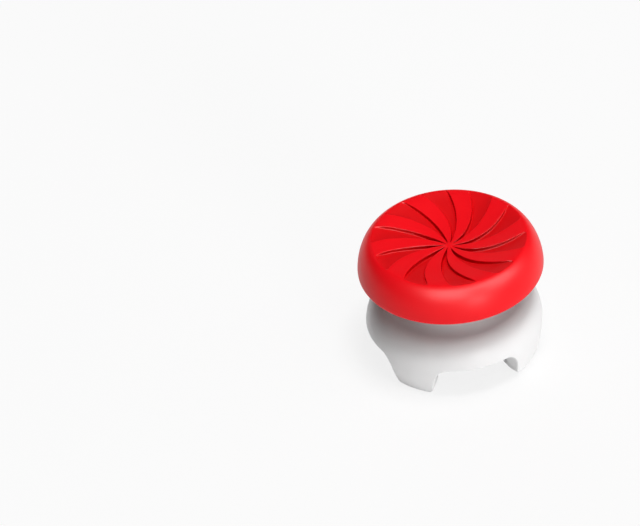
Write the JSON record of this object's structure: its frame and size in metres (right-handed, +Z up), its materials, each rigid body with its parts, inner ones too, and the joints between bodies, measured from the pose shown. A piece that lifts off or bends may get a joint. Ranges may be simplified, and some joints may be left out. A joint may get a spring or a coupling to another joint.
{
  "type": "controller thumb grip",
  "caption": "High-rise thumbstick grip: a dished rubber thumb pad with a swirl of raised bands on a white clip base with spring legs.",
  "frame": {"origin": "centre of the circle that the four leg feet stand on", "axes": "+Z up along the grip's own axis, through the middle of the dish; -Y through the middle of one notch between two legs"},
  "size_m": [0.023, 0.023, 0.0165],
  "materials": {
    "white_plastic": "satin moulded",
    "red_rubber": "smooth semi-matte"
  },
  "bodies": {
    "root": {"clip_base": "white_plastic", "thumb_pad": "red_rubber"}
  },
  "joints": []
}
